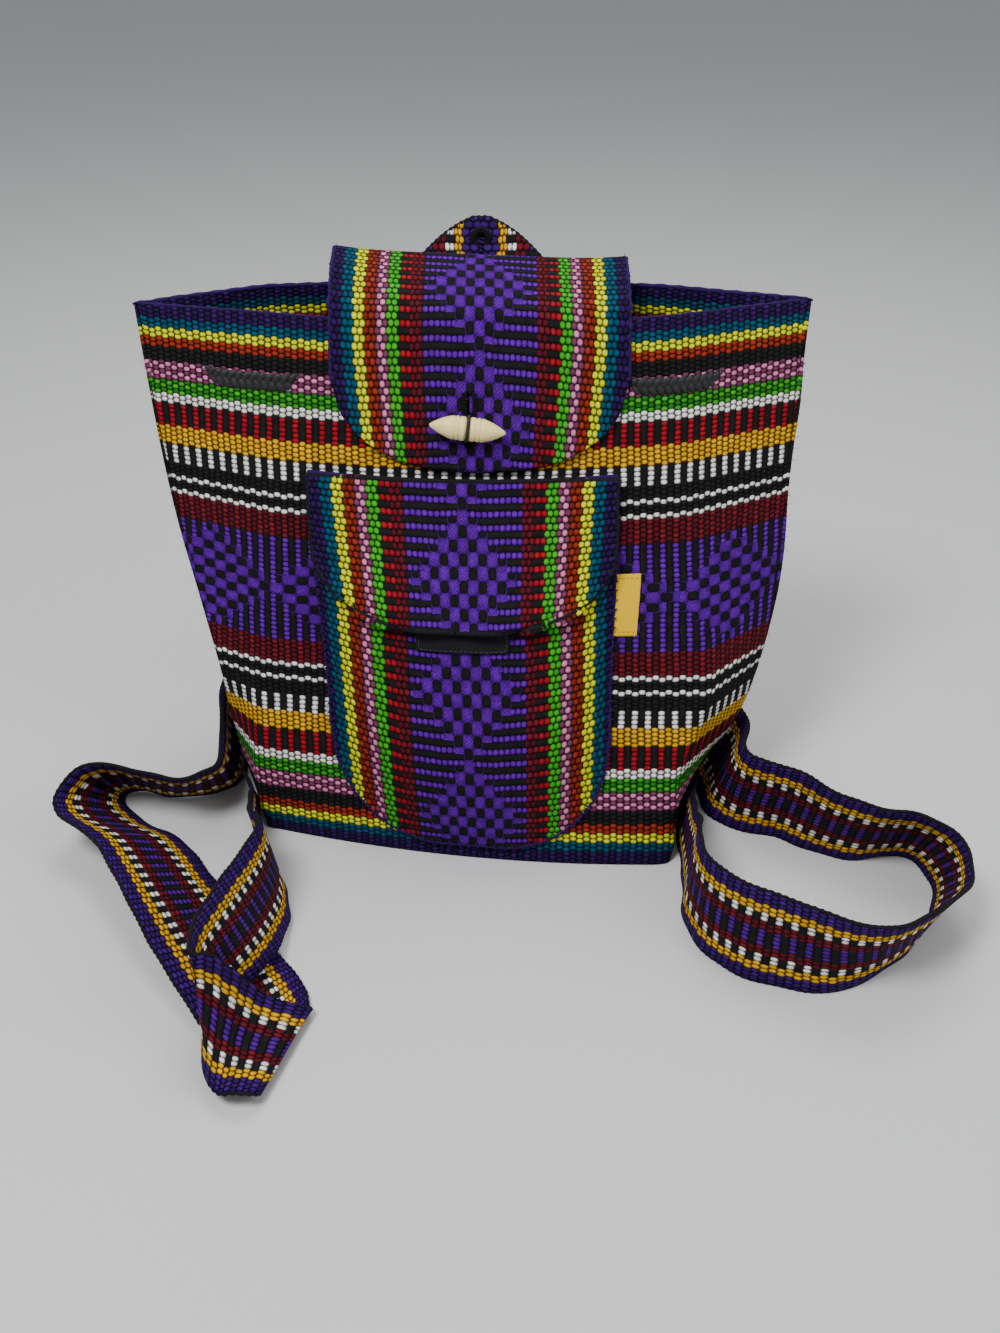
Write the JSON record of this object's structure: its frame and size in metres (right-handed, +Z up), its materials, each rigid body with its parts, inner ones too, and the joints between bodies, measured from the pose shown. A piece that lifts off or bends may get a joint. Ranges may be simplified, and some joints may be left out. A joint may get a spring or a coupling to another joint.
{
  "type": "woven backpack",
  "caption": "Small upright cloth backpack with an open mouth, a flap with a toggle, a patch pocket with its own flap, a drawstring and two shoulder straps.",
  "frame": {"origin": "centre of the flat underside of the base, on the floor", "axes": "+Z up; the front with the pocket faces -Y; +X is to the right of someone looking at the front"},
  "size_m": [0.411, 0.3138, 0.256],
  "materials": {
    "woven_stripes": "warp-faced weave in many bright stripes",
    "woven_purple": "warp-faced weave, violet figures between striped borders",
    "woven_strap": "narrow woven band in dark red, violet and gold",
    "black_braid": "matte braided cord",
    "black_hooks": "matte hook tape with stitched edges",
    "yellow_tab": "plain satin ribbon",
    "pale_bone": "smooth pale bone-like, softly polished"
  },
  "bodies": {
    "root": {"bag_body": "woven_stripes", "main_flap": "woven_purple", "pocket": "woven_purple", "pocket_flap": "woven_purple", "hook_strip": "black_hooks", "side_tab": "yellow_tab", "drawstring": "black_braid", "toggle": "pale_bone", "toggle_cord": "black_braid", "strap_tip": "woven_strap", "strap_left": "woven_strap", "strap_right": "woven_strap"}
  },
  "joints": []
}
